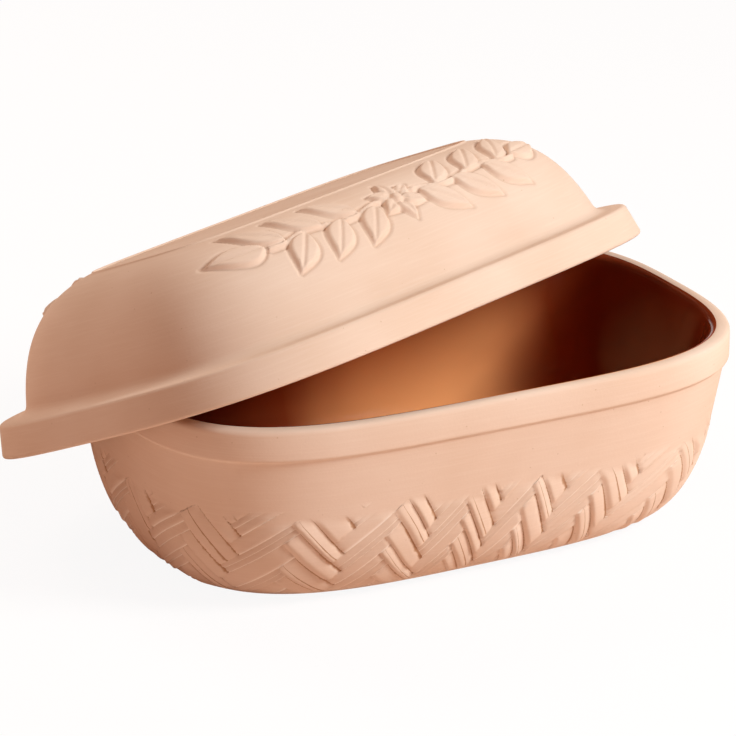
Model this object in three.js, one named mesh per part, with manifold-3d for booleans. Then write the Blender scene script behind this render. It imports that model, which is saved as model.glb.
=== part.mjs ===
// Clay pot roaster: an oval terracotta base, glazed inside, and a domed lid that rests askew on its rim.
// Millimetres, +Z up. The origin is the middle of the base's foot, with the pot's length along X.
import * as THREE from 'three';
import { ConvexGeometry } from 'three/addons/geometries/ConvexGeometry.js';
import { mergeVertices } from 'three/addons/utils/BufferGeometryUtils.js';
import Module from 'manifold-3d';

// Plan of the base's rim: an oval between an ellipse (squareness 2) and a rectangle
const RIM_LENGTH = 340;
const RIM_WIDTH = 225;
const END_SQUARENESS = 3.94;
const SIDE_SQUARENESS = 3.05;

// Base: a rim band standing proud of a tapering wall that turns in under the pot to a flat foot
const BASE_HEIGHT = 106;
const BAND_HEIGHT = 18;
const BAND_STEP = 2;
const BAND_STEP_RISE = 1.6;
const BASE_WALL = 8;
const BASE_TAPER = 8.4;
const BASE_TURN_HEIGHT = 52.5;
const BASE_TURN_REACH = 33;
const FLOOR = 9;
const FLOOR_TURN_HEIGHT = 40;
const FLOOR_TURN_REACH = 30;
const LIP_OUTER_ROUND = 3;
const LIP_INNER_ROUND = 4;
const BASE_ROUNDING_PER_MM = -0.0038;

// Glaze: a fired coat over the whole inside of the base, up to the rounded inner edge of the lip
const GLAZE = 0.8;
const COAT_CLEARANCE = 0.3;

// Lid: a flange that overhangs the rim, a cove, and a dome with a flat top
const FLANGE_OVERHANG = 13;
const FLANGE_HEIGHT = 17.7;
const FLANGE_DRAFT_RUN = 4;
const FLANGE_EDGE_ROUND = 2;
const DOME_SET_BACK = 18.5;
const COVE = 4;
const LID_HEIGHT = 78.2;
const TOP_SET_BACK = 78.5;
const DOME_SIDE_LEAN = 7.5;
const DOME_SIDE_REACH = 33;
const DOME_TOP_DROP = 2.2;
const DOME_TOP_REACH = 38.5;
const LID_ROUNDING_PER_MM = 0.0035;

// Underside of the lid: a skirt round a seat for the rim, and a hollow dome
const LID_WALL = 6.4;
const SKIRT = 5;
const SKIRT_FOOT_ROUND = 2.4;

// Garland in relief along both long shoulders of the lid: leaves above and below its line in turn, and a flower
const GARLAND_DROP = 41;
const FIRST_LEAF = 17;
const LEAF_SPACING = 13;
const LEAVES_A_SIDE = 6;
const LEAF_LENGTH = 31;
const LEAF_HALF_WIDTH = 8;
const LEAF_LEAN = 46;
const PETALS = 6;
const PETAL_LENGTH = 17;
const PETAL_HALF_WIDTH = 5.2;
const LEAF_RISE = 2;
const RELIEF_ROOT = 1.5;

// Basket weave round the base's lower wall: steep strips, each over four shallow ones, every second one raised
const STRIPS_ROUND = 72;
const STRIPS_OVER = 4;
const FALL_SPACING = 22;
const RISE_SPACING = 9.5;
const STRIP_RISE = 0.8;
const WEAVE_FOOT = 24;
const WEAVE_TOP = 64;

// Rest pose of the lid: turned and tipped back, lowered until it touches the rim
const LID_TURN = 20.6;
const LID_ROLL = -1.4;
const LID_TIP = -23.9;
const LID_SHIFT_X = -23.7;
const LID_SHIFT_Y = 40.3;
const REST_CLEARANCE = 0.35;

// Fineness of the facets
const AROUND = 68;
const FILLET_STEPS = 3;
const CURVE_STEPS = 7;
const LEAF_STATIONS = [0.25, 0.68];
const NEWTON_STEPS = 14;

const TERRACOTTA = 0xe3b08a;
const BROWN_GLAZE = 0x7a3412;

const baseRim = {
  halfLength: RIM_LENGTH / 2,
  halfWidth: RIM_WIDTH / 2,
  roundingPerMm: BASE_ROUNDING_PER_MM,
};
const lidRim = {
  halfLength: RIM_LENGTH / 2 + FLANGE_OVERHANG,
  halfWidth: RIM_WIDTH / 2 + FLANGE_OVERHANG,
  roundingPerMm: LID_ROUNDING_PER_MM,
};

// Profiles are points of inset from the rim's outline (x) and height (y)
const at = (inset, height) => new THREE.Vector2(inset, height);
const fillet = (...points) => new THREE.QuadraticBezierCurve(...points).getPoints(FILLET_STEPS);
const sweep = (...points) => new THREE.CubicBezierCurve(...points).getPoints(CURVE_STEPS);
const vector = (x, y, z) => new THREE.Vector3(x, y, z);
const radians = THREE.MathUtils.degToRad;
const signedPower = (value, power) => Math.sign(value) * Math.abs(value) ** power;

// Share of a quarter-circle's radius that its Bezier handles reach
const ROUND_HANDLE = 0.5523;

// Point of a rim's oval at an angle, drawn in by an inset
function ovalPoint(rim, inset, angle) {
  const rounding = 1 + rim.roundingPerMm * inset;
  const x = signedPower(Math.cos(angle), 2 / (END_SQUARENESS * rounding));
  const y = signedPower(Math.sin(angle), 2 / (SIDE_SQUARENESS * rounding));
  return [(rim.halfLength - inset) * x, (rim.halfWidth - inset) * y];
}

// Point of a rim's oval in a direction from the axis, closed in on by Newton's steps
function ovalPointTowards(rim, inset, direction) {
  const rounding = 1 + rim.roundingPerMm * inset;
  const endPower = END_SQUARENESS * rounding;
  const sidePower = SIDE_SQUARENESS * rounding;
  const along = Math.abs(Math.cos(direction)) / (rim.halfLength - inset);
  const across = Math.abs(Math.sin(direction)) / (rim.halfWidth - inset);
  let reach = 1 / Math.max(along, across);
  for (let i = 0; i < NEWTON_STEPS; i += 1) {
    const end = (reach * along) ** endPower;
    const side = (reach * across) ** sidePower;
    reach *= 1 - (end + side - 1) / (endPower * end + sidePower * side);
  }
  return [reach * Math.cos(direction), reach * Math.sin(direction)];
}

// Spins a profile that starts and ends on the axis, then stretches each ring from a circle to an oval
function ovalSpin(profile, rim) {
  const radii = profile.map((point) => at(rim.halfWidth - point.x, point.y));
  const geometry = new THREE.LatheGeometry(radii, AROUND);
  const place = geometry.getAttribute('position');
  for (let i = 0; i < place.count; i += 1) {
    const point = profile[i % profile.length];
    const angle = (Math.floor(i / profile.length) % AROUND) * ((2 * Math.PI) / AROUND);
    const onAxis = point.x >= rim.halfWidth;
    const [x, y] = onAxis ? [0, 0] : ovalPoint(rim, point.x, angle);
    place.setXYZ(i, x, y, point.y);
  }
  return closedGeometry(geometry);
}

// The same geometry with its shared vertices merged and its empty triangles dropped
function closedGeometry(geometry) {
  geometry.deleteAttribute('normal');
  geometry.deleteAttribute('uv');
  const merged = mergeVertices(geometry);
  const corners = Array.from(merged.index.array);
  const kept = [];
  for (let i = 0; i < corners.length; i += 3) {
    const [a, b, c] = corners.slice(i, i + 3);
    if (a !== b && b !== c && c !== a) kept.push(a, b, c);
  }
  merged.setIndex(kept);
  merged.computeVertexNormals();
  return merged;
}

// Inset of the base's inner wall at a height, parallel to the outer wall's taper
const innerTop = BASE_HEIGHT - LIP_INNER_ROUND;
const innerInset = (height) => BASE_WALL + (innerTop - height) * Math.tan(radians(BASE_TAPER));

// Inside of the pot from the lip's inner edge to the middle of the floor, drawn in by a distance
function insideProfile(drawnIn, topHeight) {
  const floor = FLOOR + drawnIn;
  const turn = floor + FLOOR_TURN_HEIGHT;
  const wall = innerInset(turn) + drawnIn;
  const lean = FLOOR_TURN_HEIGHT * ROUND_HANDLE;
  return [
    at(innerInset(topHeight) + drawnIn, topHeight),
    ...sweep(
      at(wall, turn),
      at(wall + lean * Math.tan(radians(BASE_TAPER)), turn - lean),
      at(wall + FLOOR_TURN_REACH * (1 - ROUND_HANDLE), floor),
      at(wall + FLOOR_TURN_REACH, floor),
    ),
    at(baseRim.halfWidth, floor),
  ];
}

// Outer wall from the edge of the foot, round the turn and up the taper to the band
const bandFoot = BASE_HEIGHT - BAND_HEIGHT;
const outerWall = new THREE.CurvePath();
{
  const slope = Math.tan(radians(BASE_TAPER));
  const turn = BAND_STEP + (bandFoot - BASE_TURN_HEIGHT) * slope;
  const lean = BASE_TURN_HEIGHT * ROUND_HANDLE;
  const turnEnd = at(turn, BASE_TURN_HEIGHT);
  outerWall.add(new THREE.CubicBezierCurve(
    at(turn + BASE_TURN_REACH, 0),
    at(turn + BASE_TURN_REACH * (1 - ROUND_HANDLE), 0),
    at(turn + lean * slope, BASE_TURN_HEIGHT - lean),
    turnEnd,
  ));
  outerWall.add(new THREE.LineCurve(turnEnd, at(BAND_STEP, bandFoot)));
}

function baseProfile() {
  const [turnUp, taper] = outerWall.curves;
  return [
    at(baseRim.halfWidth, 0),
    ...turnUp.getPoints(CURVE_STEPS),
    taper.v2,
    at(0, bandFoot + BAND_STEP_RISE),
    ...fillet(at(0, BASE_HEIGHT - LIP_OUTER_ROUND), at(0, BASE_HEIGHT), at(LIP_OUTER_ROUND, BASE_HEIGHT)),
    ...fillet(
      at(BASE_WALL - LIP_INNER_ROUND, BASE_HEIGHT),
      at(BASE_WALL, BASE_HEIGHT),
      at(BASE_WALL, innerTop),
    ),
    ...insideProfile(0, innerTop).slice(1),
  ];
}

function glazeProfile() {
  const top = innerTop - COAT_CLEARANCE;
  const outside = insideProfile(COAT_CLEARANCE, top);
  const inside = insideProfile(COAT_CLEARANCE + GLAZE, top);
  return [...outside.reverse(), ...inside];
}

// Dome from its foot to the edge of the flat top; a wall's thickness moves it in and down
function domeCurve(thickness) {
  const foot = at(DOME_SET_BACK + thickness, FLANGE_HEIGHT);
  const edge = at(TOP_SET_BACK, LID_HEIGHT - thickness);
  return new THREE.CubicBezierCurve(
    foot,
    at(foot.x + DOME_SIDE_LEAN, foot.y + DOME_SIDE_REACH),
    at(edge.x - DOME_TOP_REACH + thickness, edge.y - DOME_TOP_DROP),
    edge,
  );
}

function lidProfile() {
  const seat = FLANGE_HEIGHT - LID_WALL;
  const faceSlope = FLANGE_DRAFT_RUN / FLANGE_HEIGHT;
  const faceTop = at(FLANGE_DRAFT_RUN - FLANGE_EDGE_ROUND * faceSlope, FLANGE_HEIGHT - FLANGE_EDGE_ROUND);
  const faceFoot = at(SKIRT_FOOT_ROUND * faceSlope, SKIRT_FOOT_ROUND);
  const hollowFoot = DOME_SET_BACK + LID_WALL;
  const dome = domeCurve(0).getPoints(CURVE_STEPS);
  const hollow = domeCurve(LID_WALL).getPoints(CURVE_STEPS);
  return [
    at(lidRim.halfWidth, LID_HEIGHT - LID_WALL),
    ...hollow.reverse(),
    ...fillet(at(hollowFoot, FLANGE_HEIGHT), at(hollowFoot, seat), at(DOME_SET_BACK, seat)).slice(1),
    at(SKIRT, seat),
    ...fillet(at(SKIRT, SKIRT_FOOT_ROUND), at(SKIRT, 0), at(SKIRT - SKIRT_FOOT_ROUND, 0)),
    ...fillet(at(SKIRT_FOOT_ROUND, 0), at(0, 0), faceFoot),
    ...fillet(
      faceTop,
      at(FLANGE_DRAFT_RUN, FLANGE_HEIGHT),
      at(FLANGE_DRAFT_RUN + FLANGE_EDGE_ROUND, FLANGE_HEIGHT),
    ),
    ...fillet(at(DOME_SET_BACK - COVE, FLANGE_HEIGHT), dome[0], dome[1]).slice(0, -1),
    ...dome.slice(1),
    at(lidRim.halfWidth, LID_HEIGHT),
  ];
}

const wasm = await Module();
wasm.setup();

function toSolid(geometry) {
  const vertProperties = new Float32Array(geometry.getAttribute('position').array);
  const triVerts = new Uint32Array(geometry.index.array);
  return new wasm.Manifold(new wasm.Mesh({ numProp: 3, vertProperties, triVerts }));
}

function fromSolid(solid) {
  const { vertProperties, triVerts } = solid.getMesh();
  const geometry = new THREE.BufferGeometry();
  geometry.setAttribute('position', new THREE.BufferAttribute(vertProperties, 3));
  geometry.setIndex(new THREE.BufferAttribute(triVerts, 1));
  geometry.computeVertexNormals();
  return geometry;
}

// Point of a curved face, lifted off it; the face gives a point for a place across and a place up
function liftedPoint(face, across, up, lift) {
  const near = 0.05;
  const acrossward = face(across + near, up).sub(face(across - near, up));
  const upward = face(across, up + near).sub(face(across, up - near));
  return face(across, up).addScaledVector(acrossward.cross(upward).normalize(), lift);
}

// Pointed leaf that grows over a face from a root, at an angle to the way across
function leaf(face, root, lean, length, halfWidth) {
  const place = (share, aside, lift) => {
    const across = root.x + share * length * Math.cos(lean) - aside * Math.sin(lean);
    const up = root.y + share * length * Math.sin(lean) + aside * Math.cos(lean);
    return liftedPoint(face, across, up, lift);
  };
  const points = [0, 1].flatMap((share) => [place(share, 0, -RELIEF_ROOT), place(share, 0, LEAF_RISE / 3)]);
  for (const share of LEAF_STATIONS) {
    const half = halfWidth * Math.sin(Math.PI * share ** 0.8);
    points.push(place(share, 0, LEAF_RISE));
    for (const side of [-half, half]) {
      points.push(place(share, side, -RELIEF_ROOT), place(share, 0.75 * side, 0.7 * LEAF_RISE));
    }
  }
  return toSolid(closedGeometry(new ConvexGeometry(points)));
}

// Long shoulder of the dome: lengths across from its middle and up the section from the garland's line
function shoulder(front) {
  const dome = domeCurve(0);
  return (across, up) => {
    const { x: inset, y: height } = dome.getPointAt(1 - (GARLAND_DROP - up) / dome.getLength());
    const rounding = 1 + lidRim.roundingPerMm * inset;
    const end = (Math.abs(across) / (lidRim.halfLength - inset)) ** (END_SQUARENESS * rounding);
    const y = (lidRim.halfWidth - inset) * (1 - end) ** (1 / (SIDE_SQUARENESS * rounding));
    return front ? vector(across, -y, height) : vector(-across, y, height);
  };
}

function garland(face) {
  const leaves = [];
  const lean = radians(LEAF_LEAN);
  for (let i = 0; i < LEAVES_A_SIDE; i += 1) {
    const root = FIRST_LEAF + i * LEAF_SPACING;
    const rise = i % 2 ? lean : -lean;
    leaves.push(leaf(face, at(root, 0), rise, LEAF_LENGTH, LEAF_HALF_WIDTH));
    leaves.push(leaf(face, at(-root, 0), Math.PI - rise, LEAF_LENGTH, LEAF_HALF_WIDTH));
  }
  const last = FIRST_LEAF + LEAVES_A_SIDE * LEAF_SPACING;
  leaves.push(leaf(face, at(last, 0), 0, LEAF_LENGTH, LEAF_HALF_WIDTH));
  leaves.push(leaf(face, at(-last, 0), Math.PI, LEAF_LENGTH, LEAF_HALF_WIDTH));
  for (let i = 0; i < PETALS; i += 1) {
    const turn = ((i + 0.5) * 2 * Math.PI) / PETALS;
    leaves.push(leaf(face, at(0, 0), turn, PETAL_LENGTH, PETAL_HALF_WIDTH));
  }
  return leaves;
}

// Base's outer wall: strips counted round it from the right end, and the length climbed from the foot's edge
function wovenWall(strips, climb) {
  const { x: inset, y: height } = outerWall.getPoint(climb / outerWall.getLength());
  const [x, y] = ovalPointTowards(baseRim, inset, (strips * 2 * Math.PI) / STRIPS_ROUND);
  return vector(x, y, height);
}

// Steep strip, from where it comes over the shallow ones to where it dives under; its lower edge stands proud
function steepStrip(falling, rising) {
  const points = [];
  for (const over of [0.3, STRIPS_OVER / 2, STRIPS_OVER - 0.3]) {
    for (const [side, lift] of [[0.12, STRIP_RISE], [0.12, -RELIEF_ROOT], [0.85, 0], [0.85, -RELIEF_ROOT]]) {
      const climb = (falling + side - rising - over) / (1 / FALL_SPACING + 1 / RISE_SPACING);
      points.push(liftedPoint(wovenWall, falling + side - climb / FALL_SPACING, climb, lift));
    }
  }
  return toSolid(closedGeometry(new ConvexGeometry(points)));
}

function weave() {
  const strips = [];
  for (let falling = 1; falling < STRIPS_ROUND; falling += 2) {
    for (let repeat = -STRIPS_ROUND; repeat <= STRIPS_ROUND; repeat += 1) {
      const rising = STRIPS_OVER - falling + repeat * 2 * STRIPS_OVER;
      const middle = (falling + 0.5 - rising - STRIPS_OVER / 2) / (1 / FALL_SPACING + 1 / RISE_SPACING);
      if (middle > WEAVE_FOOT && middle < WEAVE_TOP) strips.push(steepStrip(falling, rising));
    }
  }
  return strips;
}

function fuse(geometry, reliefs) {
  return fromSolid(reliefs.reduce((whole, relief) => whole.add(relief), toSolid(geometry)));
}

function ceramic(name, geometry, color, roughness) {
  const mesh = new THREE.Mesh(geometry, new THREE.MeshStandardMaterial({ color, roughness, metalness: 0 }));
  mesh.name = name;
  return mesh;
}

// Lowers the lid straight down in ever finer steps until it would touch the pot, and leaves it just above
function lowerOnto(lid, potSolid) {
  const touches = (height) => {
    lid.position.z = height;
    lid.updateMatrix();
    return !toSolid(lid.geometry.clone().applyMatrix4(lid.matrix)).intersect(potSolid).isEmpty();
  };
  let height = BASE_HEIGHT + LID_HEIGHT;
  for (let step = LID_WALL / 2; step > REST_CLEARANCE / 10; step /= 4) {
    while (height > 0 && !touches(height - step)) height -= step;
  }
  lid.position.z = height + REST_CLEARANCE;
}

const base = ceramic('base', ovalSpin(baseProfile(), baseRim), TERRACOTTA, 0.9);
const glaze = ceramic('glaze_lining', ovalSpin(glazeProfile(), baseRim), BROWN_GLAZE, 0.15);
const lid = ceramic('lid', ovalSpin(lidProfile(), lidRim), TERRACOTTA, 0.9);
lid.rotation.set(radians(LID_TIP), radians(LID_ROLL), radians(LID_TURN), 'ZYX');
lid.position.set(LID_SHIFT_X, LID_SHIFT_Y, 0);
lowerOnto(lid, toSolid(base.geometry));
base.geometry = fuse(base.geometry, weave());
lid.geometry = fuse(lid.geometry, [...garland(shoulder(true)), ...garland(shoulder(false))]);

const roaster = new THREE.Group();
roaster.add(base, glaze, lid);

export default roaster;
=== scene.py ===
# %% [markdown]
# Clay pot roaster
#
# A clay roaster is two loose pieces of fired terracotta: an oval base, glazed brown inside, and a domed lid.
# Here the lid lies askew across the rim, as a cook leaves it to look at the roast.
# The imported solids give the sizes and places. This lesson makes the finer surfaces that stand for them.

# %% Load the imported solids
import math
from collections import namedtuple

import bmesh
import bpy
import numpy as np
from mathutils import Euler, Matrix, Vector, noise
from mathutils.geometry import interpolate_bezier


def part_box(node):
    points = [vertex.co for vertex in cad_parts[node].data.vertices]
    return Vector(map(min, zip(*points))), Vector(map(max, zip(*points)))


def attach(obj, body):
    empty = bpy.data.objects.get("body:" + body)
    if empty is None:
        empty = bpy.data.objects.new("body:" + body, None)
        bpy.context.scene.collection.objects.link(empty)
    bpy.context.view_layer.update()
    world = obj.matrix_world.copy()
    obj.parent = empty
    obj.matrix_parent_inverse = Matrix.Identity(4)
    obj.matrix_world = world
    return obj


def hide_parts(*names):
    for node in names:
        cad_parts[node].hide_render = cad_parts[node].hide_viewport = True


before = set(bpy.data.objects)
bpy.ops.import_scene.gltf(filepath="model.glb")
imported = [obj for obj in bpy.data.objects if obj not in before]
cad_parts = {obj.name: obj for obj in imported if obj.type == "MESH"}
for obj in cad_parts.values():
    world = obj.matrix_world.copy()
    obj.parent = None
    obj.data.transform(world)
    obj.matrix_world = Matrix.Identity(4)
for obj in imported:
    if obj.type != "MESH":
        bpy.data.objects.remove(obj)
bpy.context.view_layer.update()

# %% [markdown]
# Sizes
#
# Potters think in millimetres, so every piece is drawn in millimetres and scaled to metres at the end.
# The base stands square to the axes, so its box gives the rim's length and width and the height of the lip.

# %% Main sizes
MM = 0.001

base_low, base_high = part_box("base")
RIM_LENGTH, RIM_WIDTH, BASE_HEIGHT = (base_high - base_low) / MM
print(f"rim {RIM_LENGTH:.1f} x {RIM_WIDTH:.1f} mm, lip at {BASE_HEIGHT:.1f} mm")

# %% [markdown]
# The oval
#
# Seen from above, the pot is an oval between an ellipse and a rectangle, which is called a superellipse.
# It could be drawn with four arcs, but the light would show where they meet. A superellipse has no such
# places. Its power says how square it is: 2 is an ellipse, and the larger the power, the squarer the corners.
# `oval_reach` gives the distance from the axis to the outline in a direction. There is no closed formula for
# two different powers, so it starts outside the outline and closes in on it with Newton's steps.

# %% The oval outline
END_SQUARENESS = 3.94
SIDE_SQUARENESS = 3.05
NEWTON_STEPS = 14
OUTLINE_POINTS = 4097
BASE_ROUNDING = -0.0038  # share that each millimetre drawn in adds to the powers

Rim = namedtuple("Rim", "half_length half_width rounding_per_mm")
base_rim = Rim(RIM_LENGTH / 2, RIM_WIDTH / 2, BASE_ROUNDING)


def oval_reach(rim, inset, angle):
    """Distance from the axis to the rim's oval, drawn in by an inset, in each direction"""
    along = np.abs(np.cos(angle)) / (rim.half_length - inset)
    across = np.abs(np.sin(angle)) / (rim.half_width - inset)
    rounding = 1 + rim.rounding_per_mm * inset
    end_power, side_power = END_SQUARENESS * rounding, SIDE_SQUARENESS * rounding
    reach = 1 / np.maximum(along, across)
    for _ in range(NEWTON_STEPS):
        end, side = (reach * along) ** end_power, (reach * across) ** side_power
        reach = reach * (1 - (end + side - 1) / (end_power * end + side_power * side))
    return reach


def outline_lengths(rim, inset):
    """Directions all the way round, and the length of the outline run so far at each"""
    angles = np.linspace(0, math.tau, OUTLINE_POINTS)
    reach = oval_reach(rim, inset, angles)
    steps = np.hypot(np.diff(reach * np.cos(angles)), np.diff(reach * np.sin(angles)))
    return angles, np.concatenate([[0], np.cumsum(steps)])


print(f"way round the rim: {outline_lengths(base_rim, 0)[1][-1]:.0f} mm")

# %% [markdown]
# From a profile to a shell
#
# A potter presses such a pot in a mould, and a section through its wall is the same all the way round.
# It could be pulled out of a cube, but then the lip and the foot would have to be rounded by eye. So each
# piece starts as a section, which is a chain of points of inset and height. The spin operator turns it about
# the upright axis into a round pot, and each ring is then stretched to the oval.
# The length run along the section is kept on every vertex, because the carving later asks for it.

# %% Lines of a section
CURVE_POINTS, FILLET_POINTS = 48, 6
FILLET_PULL = 2 / 3

at = Vector  # a point of a section: how far in from the rim, and how high


def sweep(start, pull, push, end, points=CURVE_POINTS):
    """Bezier curve between two points of a section"""
    return [Vector(point) for point in interpolate_bezier(start, pull, push, end, points)]


def fillet(start, corner, end, points=FILLET_POINTS):
    """Rounded corner of a section"""
    return sweep(start, start.lerp(corner, FILLET_PULL), end.lerp(corner, FILLET_PULL), end, points)


def even(points, spacing):
    """The same line with its points an even spacing apart"""
    line = np.array(points)
    run = np.concatenate([[0], np.cumsum(np.hypot(*np.diff(line, axis=0).T))])
    marks = np.linspace(0, run[-1], max(2, round(run[-1] / spacing) + 1))
    return [Vector((np.interp(m, run, line[:, 0]), np.interp(m, run, line[:, 1]))) for m in marks]


corner = fillet(at((0, 10)), at((0, 0)), at((10, 0)))
print("a 10 mm corner has", len(corner), "points, with its middle near", corner[len(corner) // 2])

# %% The oval spin
ALONG, RELIEF, CARVED, WAVER = "along_section", "relief", "carved", "waver"
PIN_HOLE = 0.001
LEAST_HALF_WIDTH = 1


def spin_section(section, rim, columns):
    """Round shell that a section makes when it is spun, with the length run kept on its vertices"""
    bm = bmesh.new()
    for layer in (RELIEF, CARVED, WAVER, ALONG):
        bm.verts.layers.float.new(layer)
    along = bm.verts.layers.float[ALONG]
    chain, run = [], 0.0
    for number, point in enumerate(section):
        run += (point - section[number - 1]).length if number else 0
        chain.append(bm.verts.new((rim.half_width - point.x, 0, point.y)))
        chain[-1][along] = run
    edges = [bm.edges.new(pair) for pair in zip(chain, chain[1:])]
    bmesh.ops.spin(bm, geom=chain + edges, cent=(0, 0, 0), axis=(0, 0, 1), angle=math.tau,
                   steps=columns, use_merge=True)
    bmesh.ops.remove_doubles(bm, verts=bm.verts, dist=PIN_HOLE)
    bmesh.ops.recalc_face_normals(bm, faces=bm.faces)
    return bm


def oval_spin(section, rim, columns, even_inset):
    """Spins a section that starts and ends on the axis, and stretches it to the oval"""
    bm = spin_section(section, rim, columns)
    places = np.array([vert.co for vert in bm.verts])
    radius = np.hypot(places[:, 0], places[:, 1])
    turn = np.arctan2(places[:, 1], places[:, 0]) % math.tau
    angles, lengths = outline_lengths(rim, even_inset)
    angle = np.interp(turn / math.tau, lengths / lengths[-1], angles)
    inset = np.minimum(rim.half_width - radius, rim.half_width - LEAST_HALF_WIDTH)
    reach = np.where(radius > PIN_HOLE, oval_reach(rim, inset, angle), 0)
    for vert, distance, way in zip(bm.verts, reach, angle):
        vert.co.xy = distance * math.cos(way), distance * math.sin(way)
    bm.normal_update()
    print(f"spun {len(section)} points into {len(bm.verts)} vertices")
    return bm


# %% [markdown]
# The base's section
#
# From the middle of the foot the section runs out, turns up in one generous curve, and climbs with a slight
# taper to a band that stands proud under the lip. It goes over the rounded lip and down the inside to the
# floor. Even spacing would be simpler, but the stretch that will be carved needs its points close together,
# and the plain stretches need only a few.

# %% Sizes of the base
TAPER = math.tan(math.radians(8.4))
ROUND_HANDLE = 0.5523  # share of a quarter circle's radius that its Bezier handles reach
BAND_HEIGHT, BAND_STEP, BAND_STEP_RISE = 18, 2, 1.6
BAND_FOOT_ROUND, BAND_EDGE_ROUND, STEP_ROUND_SHARE, STEP_ROUND_POINTS = 1, 1.2, 0.4, 4
TURN_HEIGHT, TURN_REACH = 52.5, 33
BASE_WALL, FLOOR = 8, 9
LIP_OUTER_ROUND, LIP_INNER_ROUND = 3, 4
FLOOR_TURN_HEIGHT, FLOOR_TURN_REACH = 40, 30
CARVED_TOP = 64
CARVING_STEP, PLAIN_STEP = 2, 6

band_foot = BASE_HEIGHT - BAND_HEIGHT
inner_top = BASE_HEIGHT - LIP_INNER_ROUND
wall_inset = BAND_STEP + (band_foot - TURN_HEIGHT) * TAPER
print(f"band from {band_foot:.1f} mm up, wall {wall_inset:.1f} mm in where it turns under")

# %% Section of the base
BASE_COLUMNS, BASE_EVEN_INSET = 470, 20


def inside_section(drawn_in, top):
    """Inside of the pot from below the lip to the middle of the floor, drawn in from the clay"""
    floor = FLOOR + drawn_in
    turn = floor + FLOOR_TURN_HEIGHT
    wall = BASE_WALL + (inner_top - turn) * TAPER + drawn_in
    lean = FLOOR_TURN_HEIGHT * ROUND_HANDLE
    corner = sweep(at((wall, turn)), at((wall + lean * TAPER, turn - lean)),
                   at((wall + FLOOR_TURN_REACH * (1 - ROUND_HANDLE), floor)),
                   at((wall + FLOOR_TURN_REACH, floor)))
    start = at((BASE_WALL + (inner_top - top) * TAPER + drawn_in, top))
    return even([start, corner[0]], PLAIN_STEP)[:-1] + even(corner, PLAIN_STEP / 2)


def base_section():
    """Half a slice through the base, from under the foot round to the middle of the floor"""
    lean = TURN_HEIGHT * ROUND_HANDLE
    turn_up = sweep(at((wall_inset + TURN_REACH, 0)),
                    at((wall_inset + TURN_REACH * (1 - ROUND_HANDLE), 0)),
                    at((wall_inset + lean * TAPER, TURN_HEIGHT - lean)), at((wall_inset, TURN_HEIGHT)))
    carved_end = at((BAND_STEP + (band_foot - CARVED_TOP) * TAPER, CARVED_TOP))
    under_band, step_top = at((BAND_STEP, band_foot)), at((0, band_foot + BAND_STEP_RISE))
    below_band = under_band + BAND_FOOT_ROUND * at((TAPER, -1))
    step_foot = under_band.lerp(step_top, STEP_ROUND_SHARE)
    step_edge = under_band.lerp(step_top, 1 - STEP_ROUND_SHARE)
    band_start = step_top + at((0, BAND_EDGE_ROUND))
    lip_foot, lip_corner = at((0, BASE_HEIGHT - LIP_OUTER_ROUND)), at((0, BASE_HEIGHT))
    return [
        at((base_rim.half_width, 0)),
        *even(turn_up + [carved_end], CARVING_STEP),
        *even([carved_end, below_band], PLAIN_STEP)[1:-1],
        *fillet(below_band, under_band, step_foot, STEP_ROUND_POINTS),
        *fillet(step_edge, step_top, band_start, STEP_ROUND_POINTS),
        *even([band_start, lip_foot], PLAIN_STEP)[1:-1],
        *fillet(lip_foot, lip_corner, at((LIP_OUTER_ROUND, BASE_HEIGHT))),
        *fillet(at((BASE_WALL - LIP_INNER_ROUND, BASE_HEIGHT)), at((BASE_WALL, BASE_HEIGHT)),
                at((BASE_WALL, inner_top))),
        *inside_section(0, inner_top)[1:],
        at((base_rim.half_width, FLOOR)),
    ]


base_bm = oval_spin(base_section(), base_rim, BASE_COLUMNS, BASE_EVEN_INSET)

# %% [markdown]
# The basket weave
#
# The lower half of the base is carved as a basket of flat strips. Some fall steeply to the right and some
# rise gently, and each lies over four others before it dives under, so they read as nested V shapes.
# A texture could draw this, but here the height is worked out for each vertex, so the strips are real shape
# and their upper ends make a ragged line. `falling` and `rising` count the strips of the two families, and
# `uneven` makes some wider than others, because the mould was carved by hand.

# %% Sizes of the weave
STRIPS_ROUND, STRIPS_OVER = 72, 4
FALL_SPACING, RISE_SPACING = 22, 9.5
UNEVEN_SHARE, UNEVEN_WAVES = 0.14, 29
WAVER_SHARE, WAVER_LENGTH = 0.07, 26
WEAVE_TOP, WEAVE_TOP_FADE, WEAVE_TOP_RAGGED = 54.5, 3, 5
WEAVE_FOOT, WEAVE_FOOT_FADE = 5, 3

# Heights are in millimetres, and widths are shares of a strip
SLOPE_SHARE = 0.8
RISEN_HEIGHT, RISEN_SLOPE, RISEN_SLOPE_SPREAD = 0.1, 0.8, 0.2
FALLEN_HEIGHT, FALLEN_SLOPE, FALLEN_SLOPE_SPREAD = 0.2, 1.2, 0.4
PILLOW_RISE, GROOVE_LEAST, GROOVE_GAIN, GROOVE_WIDTH = 0.25, 0.1, 0.5, 0.12
STRIP_SPREAD, END_DIP, END_DIP_WIDTH = 0.2, 0.4, 0.18

# Whole numbers that tell the stretches of strip apart
STRETCHES = 997
RISEN_MIX, FALLEN_MIX, FALLEN_FIRST = (7, 3), (5, 11), 400
WEAVE_SEED = 11
random = np.random.default_rng(WEAVE_SEED)
print(f"a falling strip every {outline_lengths(base_rim, 0)[1][-1] / STRIPS_ROUND:.1f} mm round the rim")


# %% Height of the weave
def smoothstep(low, high, value):
    """0 at low, 1 at high, and a smooth rise between them"""
    share = np.clip((value - low) / (high - low), 0, 1)
    return share * share * (3 - 2 * share)


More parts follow.
